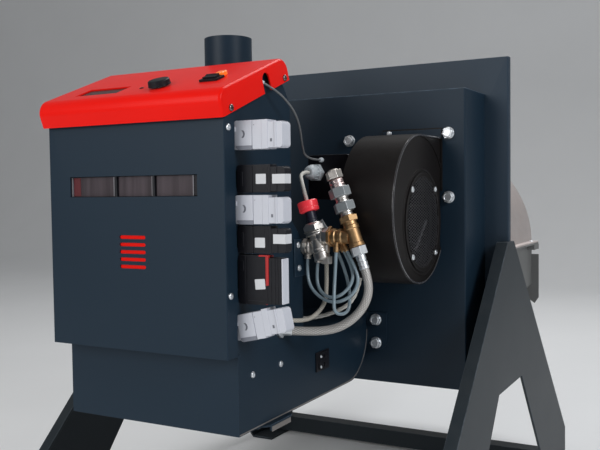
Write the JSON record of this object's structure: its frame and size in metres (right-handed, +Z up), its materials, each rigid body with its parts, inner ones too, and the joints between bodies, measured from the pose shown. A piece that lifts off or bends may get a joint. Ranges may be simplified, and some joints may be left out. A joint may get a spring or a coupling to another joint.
{
  "type": "pellet burner",
  "caption": "Pellet burner on an A-frame stand: cabinet with sloping lid, auger feed, side fan, flange box and arched combustion chamber.",
  "frame": {"origin": "on the floor, at the middle of the object's length and width", "axes": "+X to the right seen from the front cover, the side with the fan and connectors; +Y from the front cover towards the boiler, along the auger and chamber; +Z up"},
  "size_m": [0.588, 0.9864, 0.6935],
  "materials": {
    "anthracite": "fine textured powder coat, anthracite grey, half matt",
    "red_paint": "smooth gloss powder coat, bright red",
    "gloss_black": "gloss black enamel",
    "black_plastic": "moulded black plastic, half matt",
    "white_plastic": "moulded white plastic, half gloss",
    "smoked_pane": "smoked clear plastic window",
    "grey_plastic": "moulded light grey nylon",
    "display_black": "dark display glass over a black board",
    "red_cap": "glossy red plastic cap",
    "red_gasket": "red silicone seal",
    "ceramic_rope": "compressed ceramic fibre board, off-white",
    "stainless": "rolled stainless sheet, slightly pink from heat",
    "grey_steel": "grey primed steel, matt",
    "cast_iron": "raw cast iron, burnt",
    "steel": "turned steel",
    "zinc": "zinc plated steel, bright",
    "nickel": "nickel plated brass, satin",
    "brass": "plain brass, lightly dulled",
    "motor_grey": "dark grey enamel",
    "braided_hose": "grey hose with a woven braid in its wall",
    "air_tube": "blue-grey nylon air tube, half gloss",
    "pale_cable": "pale grey cable sheath, crinkled",
    "grey_cable": "grey corrugated lead",
    "circuit_board": "green circuit board with parts"
  },
  "bodies": {
    "burner": {"front_cover": "anthracite", "window_bezel": "black_plastic", "window_pane": "smoked_pane", "vent_backing": "red_paint", "cabinet_shell": "anthracite", "lid": "red_paint", "display_board": "display_black", "switch_housing": "black_plastic", "lower_housing": "anthracite", "power_inlet": "black_plastic", "flange_box": "anthracite", "flange_plate": "anthracite", "boiler_gasket": "ceramic_rope", "arch_cover": "stainless", "chamber_trough": "grey_steel", "grate": "cast_iron", "igniter": "stainless", "auger_tube": "anthracite", "drop_tube": "anthracite", "gear_motor": "motor_grey", "fan_housing": "gloss_black", "fan_guard": "gloss_black", "fan_motor": "motor_grey", "terminal_box": "black_plastic", "cable_gland": "grey_plastic", "valve_body": "nickel", "pressure_sensor": "red_cap", "brass_tee": "brass", "check_valve": "nickel", "hose_fittings": "nickel", "valve_bracket": "anthracite", "big_air_hose": "braided_hose", "thin_air_hose": "braided_hose", "outer_air_tube": "air_tube", "inner_air_tube": "air_tube", "sensor_cable": "pale_cable", "lid_cable": "pale_cable", "fan_lead": "grey_cable", "plug_gasket": "red_gasket", "plug_1": "white_plastic", "plug_2": "black_plastic", "plug_3": "white_plastic", "plug_4": "black_plastic", "plug_5": "black_plastic", "plug_6": "white_plastic", "white_sockets": "white_plastic", "black_sockets": "black_plastic", "control_board": "circuit_board", "stand_right": "anthracite", "stand_left": "anthracite", "stand_bars": "anthracite", "panel_screws": "zinc", "flange_bolts": "zinc"},
    "auger": {"auger_screw": "steel"},
    "fan_wheel": {"fan_impeller": "zinc"},
    "encoder_push": {"encoder_plunger": "steel"},
    "selector_knob": {"encoder_shaft": "steel", "knob": "black_plastic"},
    "switch_rocker": {"rocker": "black_plastic"},
    "ash_slide": {"clean_out_slide": "anthracite"}
  },
  "joints": [
    {"name": "auger_turn", "type": "hinge", "parent": "burner", "child": "auger", "pos_m": [0, -0.28176, 0.287], "axis": [0, 1, 0], "continuous": true},
    {"name": "fan_spin", "type": "hinge", "parent": "burner", "child": "fan_wheel", "pos_m": [0.18, -0.19376, 0.459], "axis": [1, 0, 0], "continuous": true},
    {"name": "knob_press", "type": "slide", "parent": "burner", "child": "encoder_push", "axis": [0, 0.3584, -0.9336], "range_m": [0, 0.001], "stiffness_N_per_m": 3000, "springref_m": -0.0006},
    {"name": "knob_rotate", "type": "hinge", "parent": "encoder_push", "child": "selector_knob", "pos_m": [0.024, -0.46117, 0.61684], "axis": [0, -0.3584, 0.9336], "continuous": true},
    {"name": "rocker_tilt", "type": "hinge", "parent": "burner", "child": "switch_rocker", "pos_m": [0.084, -0.44871, 0.61787], "axis": [1, 0, 0], "range_deg": [-16, 0]},
    {"name": "ash_slide_pull", "type": "slide", "parent": "burner", "child": "ash_slide", "axis": [1, 0, 0], "range_m": [0, 0.07]}
  ]
}
